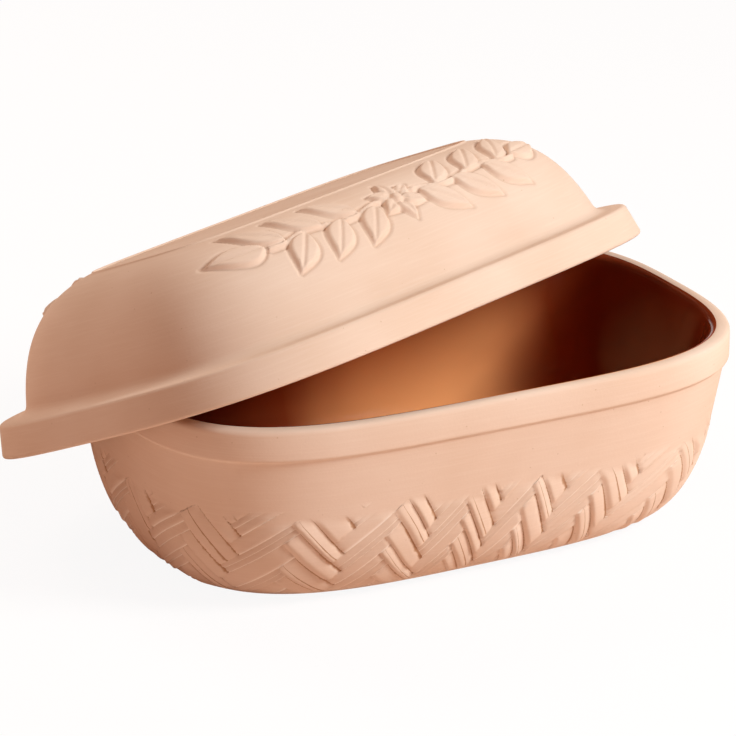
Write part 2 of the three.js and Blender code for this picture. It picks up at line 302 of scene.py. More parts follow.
def uneven(position):
    """Stretches and squeezes an even count of strips, and closes up after a full turn"""
    return position + UNEVEN_SHARE * np.sin(position * UNEVEN_WAVES * math.tau / STRIPS_ROUND)


def bump_line(distance, width):
    """Rounded line, 1 in its middle"""
    return np.exp(-(distance / width) ** 2)


def slope(share):
    """Rises from -0.5 to 0.5 across most of a strip, and falls back in the rest"""
    return np.where(share < SLOPE_SHARE, share / SLOPE_SHARE, (1 - share) / (1 - SLOPE_SHARE)) - 0.5


def weave_height(turn, climb, height):
    """Height of the strips in mm, and a depth that fades out, at a count round, a climb and a height"""
    falling, rising = uneven(turn + climb / FALL_SPACING), uneven(turn - climb / RISE_SPACING)
    across_falling, across_rising = falling % 1, rising % 1
    falling, rising = np.floor(falling).astype(int), np.floor(rising).astype(int)
    step = (falling + rising) % (2 * STRIPS_OVER)
    rises = step < STRIPS_OVER
    step = step % STRIPS_OVER
    run = np.where(rises, step + across_falling, step + across_rising) / STRIPS_OVER

    # Each stretch of strip that lies on top has its own tilt, rise and upper end
    risen_number = RISEN_MIX[0] * rising + RISEN_MIX[1] * (falling - step)
    fallen_number = FALLEN_FIRST + FALLEN_MIX[0] * falling + FALLEN_MIX[1] * (rising - step)
    number = np.where(rises, risen_number, fallen_number) % STRETCHES
    tilt, rise, top = random.uniform(-1, 1, (3, STRETCHES))[:, number]

    risen_slope = RISEN_SLOPE + RISEN_SLOPE_SPREAD * tilt
    risen = RISEN_HEIGHT + risen_slope * slope((1 + rising % 2) * across_rising % 1)
    fallen_slope = FALLEN_SLOPE + FALLEN_SLOPE_SPREAD * tilt
    pillow = PILLOW_RISE * (1 - (2 * across_falling - 1) ** 2)
    groove = (GROOVE_LEAST + GROOVE_GAIN * run) * bump_line(1 - across_falling, GROOVE_WIDTH)
    fallen = FALLEN_HEIGHT + fallen_slope * slope(1 - across_falling) + pillow - groove
    end_dip = END_DIP * bump_line(np.minimum(run, 1 - run) * STRIPS_OVER, END_DIP_WIDTH)
    strips = np.where(rises, risen, fallen) + STRIP_SPREAD * rise - end_dip

    top = WEAVE_TOP + WEAVE_TOP_RAGGED * top
    depth = 1 - smoothstep(top - WEAVE_TOP_FADE, top + WEAVE_TOP_FADE, height)
    depth = depth * smoothstep(WEAVE_FOOT - WEAVE_FOOT_FADE, WEAVE_FOOT + WEAVE_FOOT_FADE, height)
    return strips * depth, depth


print("slope across a strip", slope(np.linspace(0, 1, 6)).round(2))


# %% Finer faces, relief and finished pieces
def subdivide(bm, faces, cuts):
    """Splits the edges of some faces, so that they can hold finer carving"""
    edges = list(dict.fromkeys(edge for face in faces for edge in face.edges))
    bmesh.ops.subdivide_edges(bm, edges=edges, cuts=cuts, use_grid_fill=True)
    bm.normal_update()


def raise_relief(bm, verts, heights):
    """Moves vertices along their normals, and notes how far"""
    relief = bm.verts.layers.float[RELIEF]
    normals = [vert.normal.copy() for vert in verts]
    for vert, normal, height in zip(verts, normals, heights):
        vert.co += normal * height
        vert[relief] = height
    print(f"relief on {len(verts)} vertices, from {min(heights):.2f} to {max(heights):.2f} mm")


def finished_piece(name, bm, place=Matrix()):
    """Makes a bmesh drawn in millimetres in its own frame into an object at the origin"""
    bmesh.ops.transform(bm, matrix=Matrix.Scale(MM, 4) @ place, verts=bm.verts)
    for face in bm.faces:
        face.smooth = True
    mesh = bpy.data.meshes.new(name)
    bm.to_mesh(mesh)
    bm.free()
    piece = bpy.data.objects.new(name, mesh)
    bpy.context.scene.collection.objects.link(piece)
    triangles = sum(len(polygon.vertices) - 2 for polygon in mesh.polygons)
    print(f"{name}: {len(mesh.vertices)} vertices, {triangles} triangles")
    return piece


# %% Carve the weave
OUTSIDE_CLIMB = 2 * CARVED_TOP  # longer than the climb outside, and too short to reach the inside
HEIGHT_SPARE = 0.1

base_along = base_bm.verts.layers.float[ALONG]
foot_edge = base_rim.half_width - wall_inset - TURN_REACH


def is_carved(vert):
    """True on the outside of the base between the foot and the plain wall"""
    climbs = foot_edge - PIN_HOLE < vert[base_along] < foot_edge + OUTSIDE_CLIMB
    return climbs and vert.co.z < CARVED_TOP + HEIGHT_SPARE


subdivide(base_bm, [face for face in base_bm.faces if all(is_carved(vert) for vert in face.verts)], cuts=1)
carved = [vert for vert in base_bm.verts if is_carved(vert)]
carved_angle = np.array([math.atan2(vert.co.y, vert.co.x) for vert in carved]) % math.tau
carved_climb = np.array([vert[base_along] for vert in carved]) - foot_edge
carved_height = np.array([vert.co.z for vert in carved])
waver = np.array([WAVER_SHARE * noise.noise(vert.co / WAVER_LENGTH) for vert in carved])
carved_turn = carved_angle / math.tau * STRIPS_ROUND + waver
strip_height, strip_depth = weave_height(carved_turn, carved_climb, carved_height)
raise_relief(base_bm, carved, strip_height)
depth_layer, waver_layer = base_bm.verts.layers.float[CARVED], base_bm.verts.layers.float[WAVER]
for vert, depth, shift in zip(carved, strip_depth, waver):
    vert[depth_layer], vert[waver_layer] = depth, shift

base_clay = finished_piece("base_clay", base_bm)

# %% [markdown]
# The glaze
#
# The inside of the base is coated with a clear brown glaze. The clay's inner faces could simply get a second
# material, but a coat has a thickness and an edge, so it is its own thin shell just off the clay. It runs up
# over the inner rounding of the lip and thins out there, because the top was wiped clean before firing.

# %% Glaze lining
GLAZE, COAT_CLEARANCE = 0.8, 0.3
LIP_CORNER_BULGE, GLAZE_TURN, GLAZE_EDGE_SHARE = 0.1, 63, 0.12
GLAZE_EDGE_STEPS = 9
GLAZE_COLUMNS = 240


def glaze_side(drawn_in):
    """One side of the coat: from its thin edge round the lip's inner edge, then down the wall to the floor"""
    round_middle = at((BASE_WALL - LIP_INNER_ROUND, inner_top))
    edge = []
    for step in range(GLAZE_EDGE_STEPS, 0, -1):
        share = step / GLAZE_EDGE_STEPS
        thinned = drawn_in * (1 - (1 - GLAZE_EDGE_SHARE) * share)
        reach, turn = LIP_INNER_ROUND + LIP_CORNER_BULGE + thinned, math.radians(GLAZE_TURN * share)
        edge.append(round_middle + reach * at((math.cos(turn), math.sin(turn))))
    return edge + inside_section(drawn_in, inner_top - LIP_INNER_ROUND)


def glaze_section():
    """Slice through the coat: its back against the clay, then its glossy face"""
    back, face = glaze_side(COAT_CLEARANCE), glaze_side(COAT_CLEARANCE + GLAZE)
    middle = base_rim.half_width
    return [at((middle, back[-1].y)), *reversed(back), *face, at((middle, face[-1].y))]


glaze_bm = oval_spin(glaze_section(), base_rim, GLAZE_COLUMNS, BASE_EVEN_INSET)
glaze_coat = finished_piece("glaze_coat", glaze_bm)

# %% [markdown]
# The lid's section
#
# The lid starts inside its hollow, comes down to a flat seat for the rim, goes round the skirt, and climbs
# over the flange and a small cove to the dome. The top is sunk a hair inside a crisp ring.
# A hollow could be made with a Solidify modifier, but the seat and the skirt follow other lines than the
# outside does, so the section draws both sides.

# %% Sizes of the lid
FLANGE_OVERHANG, LID_ROUNDING = 13, 0.0035
LID_HEIGHT, FLANGE_HEIGHT = 78.2, 17.7
FLANGE_DRAFT_RUN, FLANGE_EDGE_ROUND = 4, 2
DOME_SET_BACK, COVE, TOP_SET_BACK = 18.5, 6.5, 78.5
DOME_SIDE_LEAN, DOME_SIDE_REACH = 7.5, 33
DOME_TOP_DROP, DOME_TOP_REACH = 2.2, 38.5
LID_WALL, SKIRT, SKIRT_FOOT_ROUND = 6.4, 5, 2.4
TOP_RING_SET_BACK, TOP_SINK, TOP_EDGE, TOP_BEAD = 67.7, 0.7, 0.9, 1.9

lid_rim = Rim(RIM_LENGTH / 2 + FLANGE_OVERHANG, RIM_WIDTH / 2 + FLANGE_OVERHANG, LID_ROUNDING)
print(f"flange {2 * lid_rim.half_length:.0f} x {2 * lid_rim.half_width:.0f} mm")

# %% Section of the lid
DOME_STEP = 2
COVE_END, COVE_POINTS = 3, 9
RING_SPAN, RING_POINTS = 2, 8
LID_COLUMNS, LID_EVEN_INSET = 356, 50


def dome_curve(thickness):
    """Dome from its foot to the edge of the flat top, moved in and down by a wall's thickness"""
    foot = at((DOME_SET_BACK + thickness, FLANGE_HEIGHT))
    edge = at((TOP_SET_BACK, LID_HEIGHT - thickness))
    return sweep(foot, foot + at((DOME_SIDE_LEAN, DOME_SIDE_REACH)),
                 edge + at((thickness - DOME_TOP_REACH, -DOME_TOP_DROP)), edge)


def lid_section():
    """Half a slice through the lid, from inside the hollow round to the middle of the top"""
    seat = FLANGE_HEIGHT - LID_WALL
    face_slope = FLANGE_DRAFT_RUN / FLANGE_HEIGHT
    hollow_foot = DOME_SET_BACK + LID_WALL
    face_foot = at((SKIRT_FOOT_ROUND * face_slope, SKIRT_FOOT_ROUND))
    face_top = at((FLANGE_DRAFT_RUN - FLANGE_EDGE_ROUND * face_slope, FLANGE_HEIGHT - FLANGE_EDGE_ROUND))
    shelf = at((FLANGE_DRAFT_RUN + FLANGE_EDGE_ROUND, FLANGE_HEIGHT))
    dome = even(dome_curve(0), DOME_STEP)
    cove_start = at((DOME_SET_BACK - COVE, FLANGE_HEIGHT))
    ring = next(number for number, point in enumerate(dome) if point.x > TOP_RING_SET_BACK)
    ring_crest = dome[ring] + at((TOP_EDGE, TOP_BEAD))
    ring_end = dome[ring] + at((2 * TOP_EDGE, -TOP_SINK))
    return [
        at((lid_rim.half_width, LID_HEIGHT - LID_WALL)),
        *reversed(even(dome_curve(LID_WALL), PLAIN_STEP)),
        *fillet(at((hollow_foot, FLANGE_HEIGHT)), at((hollow_foot, seat)), at((DOME_SET_BACK, seat)))[1:],
        at((SKIRT, seat)),
        *fillet(at((SKIRT, SKIRT_FOOT_ROUND)), at((SKIRT, 0)), at((SKIRT - SKIRT_FOOT_ROUND, 0))),
        *fillet(at((SKIRT_FOOT_ROUND, 0)), at((0, 0)), face_foot),
        *even([face_foot, face_top], PLAIN_STEP)[1:-1],
        *fillet(face_top, at((FLANGE_DRAFT_RUN, FLANGE_HEIGHT)), shelf),
        *fillet(cove_start, dome[0], dome[COVE_END], COVE_POINTS)[:-1],
        *dome[COVE_END:ring],
        *fillet(dome[ring], ring_crest, ring_end, RING_POINTS),
        *[point - at((0, TOP_SINK)) for point in dome[ring + RING_SPAN:]],
        at((lid_rim.half_width, LID_HEIGHT - TOP_SINK)),
    ]


lid_bm = oval_spin(lid_section(), lid_rim, LID_COLUMNS, LID_EVEN_INSET)

# %% [markdown]
# The garland
#
# A raised garland of leaves runs along both long shoulders of the lid, a common motif on pressed clay.
# It could be built of separate leaves, but pressed clay has no seams, so the leaves are raised out of the
# dome's own surface. Each leaf is a simple height formula in the shoulder's own measure: `across` runs along
# the shoulder and `up` climbs it. The highest shape wins at each vertex.

# %% Height of a leaf
LEAF_LENGTH, LEAF_HALF_WIDTH, LEAF_LEAN, LEAF_RISE = 31, 8, math.radians(46), 2.1
LEAF_FULLNESS, LEAF_CROWN = 0.8, 0.25
LEAF_EDGE, LEAF_EDGE_END = -0.2, 2.2
RIB_DEPTH, RIB_WIDTH, RIB_FADE, RIB_FADE_END = 0.45, 0.9, 0.6, 2.4


def leaf_height(across, up, root, lean, length, half_width):
    """Height of one pointed leaf with a rib cut down its middle, and the distance inside its edge"""
    ahead = (across - root[0]) * math.cos(lean) + (up - root[1]) * math.sin(lean)
    aside = (up - root[1]) * math.cos(lean) - (across - root[0]) * math.sin(lean)
    share = np.clip(ahead / length, 0, 1)
    beyond = np.maximum(np.maximum(-ahead, ahead - length), 0)
    inside = half_width * np.sin(math.pi * share ** LEAF_FULLNESS) - np.hypot(aside, beyond)
    body = smoothstep(LEAF_EDGE, LEAF_EDGE_END, inside) * (1 - LEAF_CROWN * (aside / half_width) ** 2)
    rib = RIB_DEPTH * bump_line(aside, RIB_WIDTH) * smoothstep(RIB_FADE, RIB_FADE_END, inside)
    return LEAF_RISE * (body - rib), inside


middle_of_leaf = leaf_height(LEAF_LENGTH / 2, 0, (0, 0), 0, LEAF_LENGTH, LEAF_HALF_WIDTH)
print("height in the rib and distance to the edge", [round(float(value), 2) for value in middle_of_leaf])

# %% Height of the garland
STEM_WAVE, STEM_SWING = 52, 2
STEM_HALF_WIDTH, STEM_CREST_HALF_WIDTH, STEM_RISE = 2, 0.3, 0.8 * LEAF_RISE
FIRST_LEAF, LEAF_SPACING, LEAVES_A_SIDE = 17, 13, 6
PETALS, PETAL_LENGTH, PETAL_HALF_WIDTH = 6, 17, 5.2
HEART_RADIUS, HEART_ROUND, HEART_RISE = 4.4, 0.7, 1.2 * LEAF_RISE
OVERLAP_SHARE = 0.3
OUTLINE_CUT, OUTLINE_CUT_OFFSET, OUTLINE_CUT_WIDTH = 0.7, 0.9, 0.8

last_leaf = FIRST_LEAF + LEAVES_A_SIDE * LEAF_SPACING


def garland_shapes(across, up):
    """Stem, leaves, petals and heart, each as its height and the distance inside its edge"""
    side = np.abs(across)
    past_stem = np.clip(side - last_leaf, 0, None)
    off_stem = np.abs(up - STEM_SWING * np.sin(math.tau * side / STEM_WAVE)) + past_stem
    stem = STEM_RISE * smoothstep(STEM_HALF_WIDTH, STEM_CREST_HALF_WIDTH, off_stem)
    shapes = [(stem, STEM_HALF_WIDTH - off_stem)]
    for number in range(LEAVES_A_SIDE):
        lean = LEAF_LEAN if number % 2 else -LEAF_LEAN
        root = (FIRST_LEAF + number * LEAF_SPACING, 0)
        shapes.append(leaf_height(side, up, root, lean, LEAF_LENGTH, LEAF_HALF_WIDTH))
    shapes.append(leaf_height(side, up, (last_leaf, 0), 0, LEAF_LENGTH, LEAF_HALF_WIDTH))
    for petal in range(PETALS):
        lean = math.tau * (petal + 0.5) / PETALS
        shapes.append(leaf_height(across, up, (0, 0), lean, PETAL_LENGTH, PETAL_HALF_WIDTH))
    inside_heart = HEART_RADIUS - np.hypot(across, up)
    shapes.append((HEART_RISE * smoothstep(0, HEART_RADIUS * HEART_ROUND, inside_heart), inside_heart))
    return shapes


def garland_height(across, up):
    """Height of the garland in mm, with a fine cut round each of its shapes"""
    height = np.zeros_like(up)
    for rise, inside in garland_shapes(across, up):
        overlap = np.maximum(rise, OVERLAP_SHARE * (rise + height))
        height = np.where(inside > LEAF_EDGE, overlap, height)
        height = height - OUTLINE_CUT * bump_line(inside + OUTLINE_CUT_OFFSET, OUTLINE_CUT_WIDTH)
    return height


print(f"garland {2 * (last_leaf + LEAF_LENGTH)} mm long, with {2 * LEAVES_A_SIDE + 2} leaves")

# %% Raise the garland on both long shoulders
GARLAND_DROP = 41
ZONE_HALF_HEIGHT, ZONE_END = 28, 8

lid_along = lid_bm.verts.layers.float[ALONG]
section = lid_section()
section_run = np.cumsum([0] + [(b - a).length for a, b in zip(section, section[1:])])
garland_line = section_run[-2] - GARLAND_DROP


def on_shoulder(vert):
    """True in the stretch of the dome that carries the garland"""
    return (abs(vert[lid_along] - garland_line) < ZONE_HALF_HEIGHT
            and abs(vert.co.x) < last_leaf + LEAF_LENGTH + ZONE_END)


subdivide(lid_bm, [face for face in lid_bm.faces if all(on_shoulder(vert) for vert in face.verts)], cuts=2)
shoulder = [vert for vert in lid_bm.verts if on_shoulder(vert)]
across = np.array([vert.co.x * (1 if vert.co.y < 0 else -1) for vert in shoulder])
up = np.array([vert[lid_along] for vert in shoulder]) - garland_line
raise_relief(lid_bm, shoulder, garland_height(across, up))

# %% [markdown]
# The lid's place
#
# The lid lies turned and tipped back across the rim. It could be placed as an object, but a finished piece
# stays at the origin, so its mesh is turned as the solid is, and then moved so that the lowest corner of its
# box meets the lowest corner of the solid's box.

# %% Turn the lid and lay it where the solid lies
LID_TIP, LID_ROLL, LID_TURN = -23.9, -1.4, 20.6
lid_turned = Euler([math.radians(angle) for angle in (LID_TIP, LID_ROLL, LID_TURN)]).to_matrix().to_4x4()
flange_verts = [vert for vert in lid_bm.verts if vert.co.z < FLANGE_HEIGHT]
turned = np.array([lid_turned @ vert.co for vert in flange_verts])
lid_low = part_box("lid")[0]
lid_origin = Vector((lid_low.x / MM - turned[:, 0].min(), lid_low.y / MM - turned[:, 1].min(),
                     lid_low.z / MM - turned[:, 2].min()))
print("lid's origin", [round(value, 2) for value in lid_origin])
lid_clay = finished_piece("lid_clay", lid_bm, Matrix.Translation(lid_origin) @ lid_turned)

# %% [markdown]
# Riding on the bodies
#
# The base and its glaze ride on one body, and the lid on another, so that the lid can be lifted off. Each new
# piece stands for one imported solid and moves with the same body.

# %% Bodies
for piece, node, body, slot in ((base_clay, "base", "pot", "terracotta"),
                                (glaze_coat, "glaze_lining", "pot", "brown_glaze"),
                                (lid_clay, "lid", "lid", "terracotta")):
    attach(piece, body)
    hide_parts(node)
    print(piece.name, "stands for", node, "on", body)

# %% [markdown]
# Colours and nodes
#
# Colours are written as sRGB hex values, as a paint chart gives them, and one function turns them to the
# linear values that the renderer counts in. One more function adds a node with its settings and its links.

# %% Colour and node helpers
def linear(hex_colour):
    """Linear red, green, blue and alpha of an sRGB hex colour"""
    shares = [int(hex_colour[start:start + 2], 16) / 255 for start in (1, 3, 5)]
    return [s / 12.92 if s <= 0.04045 else ((s + 0.055) / 1.055) ** 2.4 for s in shares] + [1]


def add(tree, kind, inputs=None, stops=(), **settings):
    """Adds a node with its properties and inputs. An input is a value, an output, or a node's first output"""
    made = tree.nodes.new("ShaderNode" + kind)
    for name, value in settings.items():
        setattr(made, name, value)
    for name, value in (inputs or {}).items():
        source = value.outputs[0] if isinstance(value, bpy.types.Node) else value
        if isinstance(source, bpy.types.NodeSocket):
            tree.links.new(source, made.inputs[name])
        else:
            made.inputs[name].default_value = source
    for number, (place, hex_colour) in enumerate(stops):
        elements = made.color_ramp.elements
        stop = elements[number] if number < len(elements) else elements.new(place)
        stop.position, stop.color = place, linear(hex_colour)
    return made


def new_material(name):
    """Material with nothing in its node tree yet, and that tree"""
    material = bpy.data.materials.new(name)
    material.use_nodes = True
    material.node_tree.nodes.clear()
    return material, material.node_tree


print("middle grey in linear values", [round(value, 3) for value in linear("#808080")])

# %% [markdown]
# Lines of the weave
#
# The mould's strips have edges as sharp as a knife cut, finer than the mesh can hold. More vertices would
# show them, but nodes can draw them without any: they count the strips just as the carving did, and give
# pale ridges along the rising strips, partly wear and partly painted highlight, painted shadow lines beside
# the falling ones, and a score along every other strip.

# %% Strips counted in nodes
def strip_counts(tree, own):
    """Counts of the falling and of the rising strips, worked out as they were for the carving"""
    place = add(tree, "SeparateXYZ", {0: own})
    angle = add(tree, "Math", {0: place.outputs["Y"], 1: place.outputs["X"]}, operation="ARCTAN2")
    shift = add(tree, "Attribute", attribute_name=WAVER).outputs["Fac"]
    turn = add(tree, "Math", {0: angle, 1: STRIPS_ROUND / math.tau, 2: shift}, operation="MULTIPLY_ADD")
    run = add(tree, "Attribute", attribute_name=ALONG).outputs["Fac"]
    climb = add(tree, "Math", {0: run, 1: foot_edge}, operation="SUBTRACT")
    strips = []
    for spacing in (FALL_SPACING, -RISE_SPACING):
        count = add(tree, "Math", {0: climb, 1: 1 / spacing, 2: turn}, operation="MULTIPLY_ADD")
        phase = add(tree, "Math", {0: count, 1: UNEVEN_WAVES * math.tau / STRIPS_ROUND}, operation="MULTIPLY")
        wave = add(tree, "Math", {0: phase}, operation="SINE")
        strips.append(add(tree, "Math", {0: wave, 1: UNEVEN_SHARE, 2: count}, operation="MULTIPLY_ADD"))
    return strips


def halved(tree, strips):
    """Share across a strip, or across half of it in every other strip"""
    number = add(tree, "Math", {0: strips}, operation="FLOOR")
    odd = add(tree, "Math", {0: number, 1: 2}, operation="FLOORED_MODULO")
    share = add(tree, "Math", {0: strips}, operation="FRACT")
    parts = add(tree, "Math", {0: share, 1: odd, 2: share}, operation="MULTIPLY_ADD")
    return add(tree, "Math", {0: parts}, operation="FRACT")


print("nodes count", STRIPS_ROUND, "strips round the pot")

# %% Lines of the weave in nodes
# Widths of the ridges' wear and painted highlight, and of the painted shadow lines beside the falling strips
RIDGE = 0.2
SHADOW_LINE_WIDTH, SHADOW_LINE_LEAST_WIDTH, SHADOW_LINE_RAGGED, SHADOW_LINE_START, SHADOW_LINE_CORE = 0.34, 0.02, 3, 0.6, 0.4


def shadow_lines(tree, own, falling, step, across_rising):
    """Painted shadow lines beside the falling strips, ragged and wider towards their lower ends"""
    ragged = add(tree, "TexNoise", {"Vector": own, "Scale": 1 / (SHADOW_LINE_RAGGED * MM), "Detail": 2})
    run = add(tree, "Math", {0: step, 1: across_rising}, operation="ADD")
    run = add(tree, "Math", {0: run, 1: STRIPS_OVER - SHADOW_LINE_START}, operation="SUBTRACT")
    width = add(tree, "Math", {0: run, 1: SHADOW_LINE_WIDTH / STRIPS_OVER}, operation="MULTIPLY")
    width = add(tree, "Math", {0: width, 1: ragged, 2: SHADOW_LINE_LEAST_WIDTH}, operation="MULTIPLY_ADD")
    to_edge = add(tree, "Math", {0: 1, 1: halved(tree, falling)}, operation="SUBTRACT")
    into_shadow = add(tree, "Math", {0: to_edge, 1: width}, operation="DIVIDE")
    return add(tree, "MapRange", {"Value": into_shadow, "From Min": SHADOW_LINE_CORE, "From Max": 1,
                                  "To Min": 1, "To Max": 0}, interpolation_type="SMOOTHSTEP")


def weave_lines(tree, own):
    """Shares of ridges with wear and painted highlight, of painted shadow lines, and a height finer than the
    mesh holds
    """
    falling, rising = strip_counts(tree, own)
    numbers = [add(tree, "Math", {0: strips}, operation="FLOOR") for strips in (falling, rising)]
    number = add(tree, "Math", {0: numbers[0], 1: numbers[1]}, operation="ADD")
    step = add(tree, "Math", {0: number, 1: 2 * STRIPS_OVER}, operation="FLOORED_MODULO")
    rises = add(tree, "Math", {0: step, 1: STRIPS_OVER}, operation="LESS_THAN")
    depth = add(tree, "Attribute", attribute_name=CARVED).outputs["Fac"]
    risen = add(tree, "Math", {0: rises, 1: depth}, operation="MULTIPLY")
    fallen = add(tree, "Math", {0: depth, 1: risen}, operation="SUBTRACT")

    risen_part, fallen_part = halved(tree, rising), halved(tree, falling)
    crest = add(tree, "MapRange", {"Value": risen_part, "From Min": 1 - RIDGE, "From Max": 1},
                interpolation_type="SMOOTHSTEP")
    worn_highlit_ridge = add(tree, "Math", {0: crest, 1: risen}, operation="MULTIPLY")
    across_rising = add(tree, "Math", {0: rising}, operation="FRACT")
    shadow = shadow_lines(tree, own, falling, step, across_rising)
    shadow = add(tree, "Math", {0: shadow, 1: fallen}, operation="MULTIPLY")
    drop = add(tree, "Math", {0: fallen_part, 1: fallen}, operation="MULTIPLY")
    climb = add(tree, "Math", {0: risen_part, 1: risen}, operation="MULTIPLY")
    height = add(tree, "Math", {0: climb, 1: drop}, operation="SUBTRACT")
    return worn_highlit_ridge, shadow, height


print(f"a ridge takes {RIDGE:.0%} of a rising strip, and a cut up to {SHADOW_LINE_WIDTH:.0%} of a falling one")

# %% [markdown]
# Terracotta
#
# Unglazed terracotta is porous and matt. It was pressed in a mould and wiped with a wet sponge, which leaves
# fine level streaks. Its ridges are painted pale, partly as wear and partly as painted highlight, and its
# cuts and hollows are painted darker as shade.
# The streaks run level round each piece, but the lid lies tipped, so a Mapping node first turns the Object
# coordinates back to the piece's own frame. A picture of clay could be wrapped round instead, but noise has
# no seams.

# %% Colour of the clay
# The dry colour is the streaks' own tone and the ridges' wear and painted highlight; the dark colour is the
# specks' own tone and the painted shade in hollows and cuts
CLAY, CLAY_PALE, CLAY_DRY_AND_HIGHLIGHT, CLAY_SPECK_AND_SHADE = "#DCB79B", "#E3C1A7", "#F6E0CC", "#AD7852"
CLOUD_SIZE = 70
STREAK_SHARE, STREAK_FROM, STREAK_FULL = 0.1, 0.4, 0.75
HOLLOW_SHADE_SHARE, HOLLOW_SHADE_DEPTH = 0.25, 0.9
SPECK_SPACING, SPECK_RADIUS, SPECK_CORE, SPECK_SHARE = 9, 0.54, 0.27, 0.35


def clay_colour(tree, own, streaks):
    """Cloudy tone with dry streaks, painted shade in the hollows and a few specks"""
    clouds = add(tree, "TexNoise", {"Vector": own, "Scale": 1 / (CLOUD_SIZE * MM), "Detail": 2})
    colour = add(tree, "ValToRGB", {"Fac": clouds}, stops=((0.3, CLAY), (0.7, CLAY_PALE)))
    specks = add(tree, "TexVoronoi", {"Vector": own, "Scale": 1 / (SPECK_SPACING * MM)})
    relief = add(tree, "Attribute", attribute_name=RELIEF).outputs["Fac"]
    layers = (
        (streaks, STREAK_FROM, STREAK_FULL, 0, STREAK_SHARE, CLAY_DRY_AND_HIGHLIGHT),
        # Painted shade where the relief sinks below the surface
        (relief, -HOLLOW_SHADE_DEPTH, 0, HOLLOW_SHADE_SHARE, 0, CLAY_SPECK_AND_SHADE),
        (specks, SPECK_CORE / SPECK_SPACING, SPECK_RADIUS / SPECK_SPACING, SPECK_SHARE, 0, CLAY_SPECK_AND_SHADE),
    )
    for value, low, high, share_at_low, share_at_high, other in layers:
        share = add(tree, "MapRange", {"Value": value, "From Min": low, "From Max": high,
                                       "To Min": share_at_low, "To Max": share_at_high},
                    interpolation_type="SMOOTHSTEP")
        colour = add(tree, "MixRGB", {"Fac": share, "Color1": colour, "Color2": linear(other)})
    return colour


print("clay from", CLAY, "to", CLAY_PALE)

# %% Terracotta material
# Real grain is finer than half a millimetre, and is drawn coarser so that it shows
STREAK_WIDTH, STREAK_LENGTH, GRAIN_SIZE = 0.9, 30, 1.3
GRAIN_BUMP, STREAK_BUMP, WEAVE_BUMP = 0.12, 0.04, 0.8
# How strongly the ridges' wear and painted highlight, and the painted shadow lines, are laid on the clay
RIDGE_WEAR_AND_HIGHLIGHT_SHARE, WEAVE_SHADOW_SHARE = 0.9, 0.85


def terracotta(name, origin=(0, 0, 0), turn=(0, 0, 0), woven=False):
    """Matt fired clay with level wiping streaks and a fine grain, and if it is woven, the weave's lines with
    painted highlight and shadow
    """
    material, tree = new_material(name)
    place = add(tree, "TexCoord").outputs["Object"]
    own = add(tree, "Mapping", {"Vector": place, "Location": origin, "Rotation": turn}, vector_type="TEXTURE")
    stretch = [1 / (size * MM) for size in (STREAK_LENGTH, STREAK_LENGTH, STREAK_WIDTH)]
    level = add(tree, "Mapping", {"Vector": own, "Scale": stretch})
    streaks = add(tree, "TexNoise", {"Vector": level, "Scale": 1, "Detail": 3, "Roughness": 0.6})
    grain = add(tree, "TexNoise", {"Vector": own, "Scale": 1 / (GRAIN_SIZE * MM), "Detail": 4})
    colour = clay_colour(tree, own, streaks)
    rough = add(tree, "MapRange", {"Value": grain, "To Min": 0.8, "To Max": 0.95})
    bump = add(tree, "Bump", {"Height": grain, "Distance": GRAIN_BUMP * MM, "Strength": 0.5})
    bump = add(tree, "Bump", {"Height": streaks, "Distance": STREAK_BUMP * MM, "Strength": 0.5,
                              "Normal": bump})
    if woven:
        worn_highlit_ridge, shadow, height = weave_lines(tree, own)
        # Ridges get wear and painted highlight, and the cuts beside the falling strips get painted shadow
        for line, share, other in ((worn_highlit_ridge, RIDGE_WEAR_AND_HIGHLIGHT_SHARE, CLAY_DRY_AND_HIGHLIGHT), (shadow, WEAVE_SHADOW_SHARE, CLAY_SPECK_AND_SHADE)):
            part = add(tree, "Math", {0: line, 1: share}, operation="MULTIPLY")
            colour = add(tree, "MixRGB", {"Fac": part, "Color1": colour, "Color2": linear(other)})
        bump = add(tree, "Bump", {"Height": height, "Distance": WEAVE_BUMP * MM, "Strength": 1,
                                  "Normal": bump})
    # Porous clay scatters the light and mirrors next to nothing
    clay = add(tree, "BsdfPrincipled", {"Base Color": colour, "Roughness": rough, "Normal": bump,
                                        "IOR": 1.45, "Specular IOR Level": 0.08})
    add(tree, "OutputMaterial", {"Surface": clay})
    print(name, "has", len(tree.nodes), "nodes")
    return material


base_clay.data.materials.append(terracotta("terracotta_base", woven=True))
lid_clay.data.materials.append(terracotta("terracotta_lid", lid_origin * MM, lid_turned.to_euler()))

# %% [markdown]
# Glaze
#
# The glaze is a glassy coat, so it is smooth and mirrors what lies at a grazing angle. Its colour has light
# and shade painted in along the pot: amber in a band where the key light falls on the back wall, and dark
# brown towards both ends, where the lid's shadow and the right end's shade fall. A see-through shell over
# clay would give amber and brown too, but slowly, so the painted colour stands in for it.

# %% Brown glaze material
# Painted light and shade along the pot: amber round x = 50 mm where the key light falls, dark brown in shade
# towards both ends
GLAZE_LIT, GLAZE_HALF_SHADE, GLAZE_SHADE = "#F59D60", "#A04420", "#60170A"
LIT_MIDDLE, LIT_UNTIL, SHADE_FROM, SHADE_EDGE_NOISE = 50, 25, 140, 50
RIPPLE_BUMP = 1


